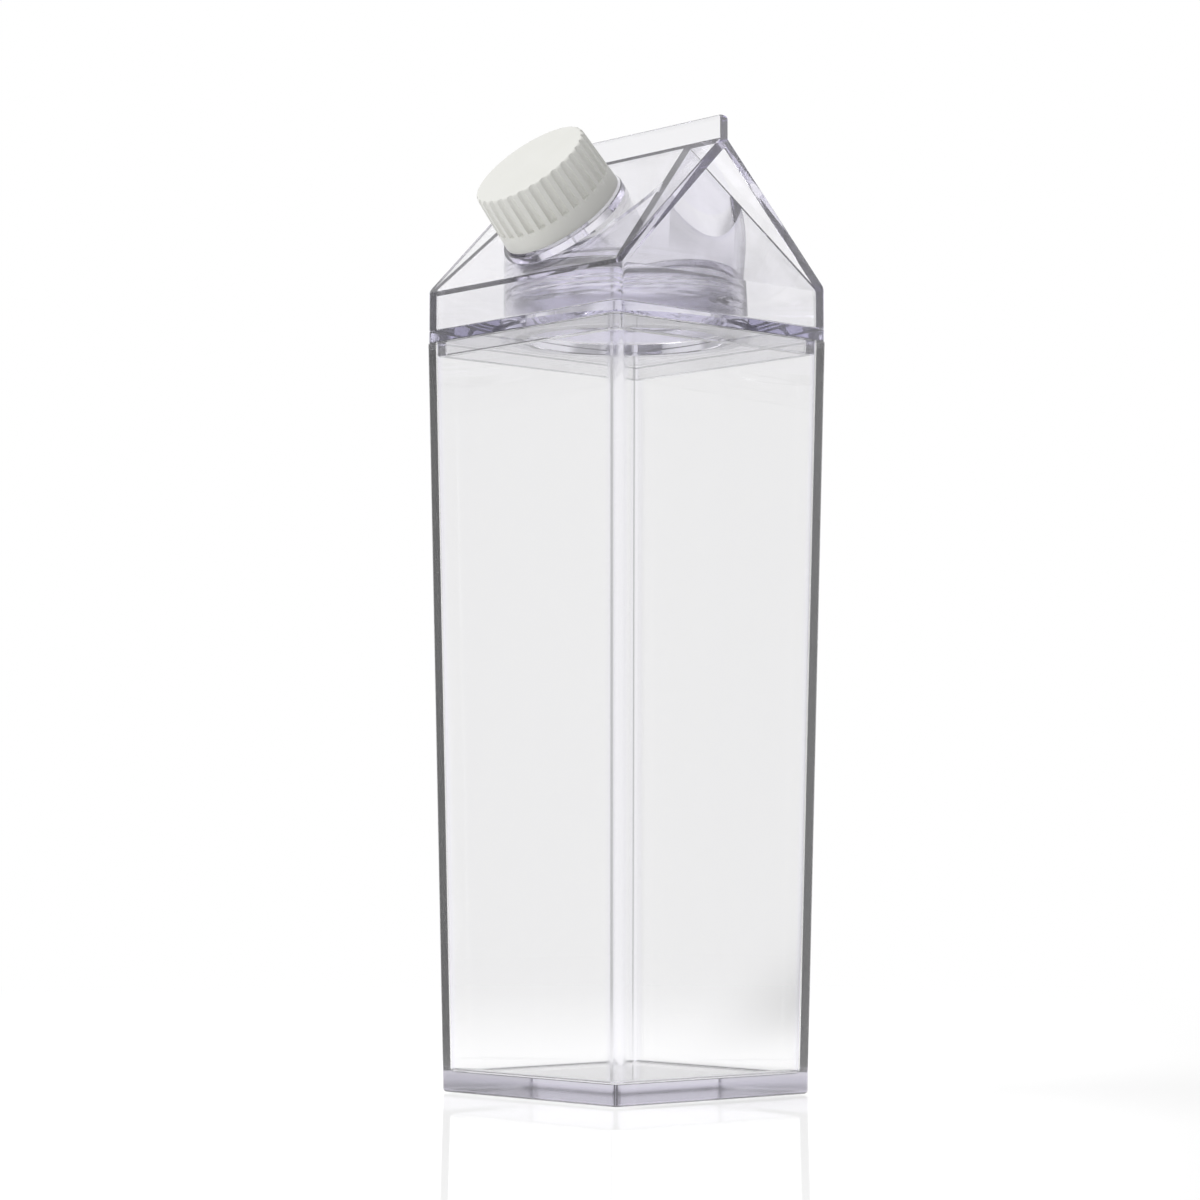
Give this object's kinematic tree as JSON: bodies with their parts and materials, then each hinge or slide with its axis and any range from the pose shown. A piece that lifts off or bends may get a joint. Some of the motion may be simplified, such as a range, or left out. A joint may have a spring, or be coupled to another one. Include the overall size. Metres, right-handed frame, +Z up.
{
  "type": "milk carton shaped bottle",
  "caption": "Clear rigid plastic water bottle in the shape of a gable-top milk carton, shut with a ribbed screw cap on a slanted spout.",
  "frame": {"origin": "middle of the flat underside, on the axis of the square box", "axes": "+Z up along the bottle, X along the roof's ridge, -Y the side of the roof that carries the spout and cap"},
  "size_m": [0.0662, 0.0732, 0.2221],
  "materials": {
    "box_clear": "clear moulded plastic, polished",
    "shoulder_clear": "clear moulded plastic, polished",
    "roof_clear": "clear moulded plastic, polished",
    "seal_soft": "translucent white silicone",
    "cap_white": "off-white moulded plastic, fine satin"
  },
  "bodies": {
    "root": {"body_box": "box_clear", "shoulder_plate": "shoulder_clear", "neck": "shoulder_clear", "neck_seal": "seal_soft", "gable_roof": "roof_clear", "roof_sleeve": "roof_clear", "spout": "roof_clear", "screw_cap": "cap_white"}
  },
  "joints": []
}
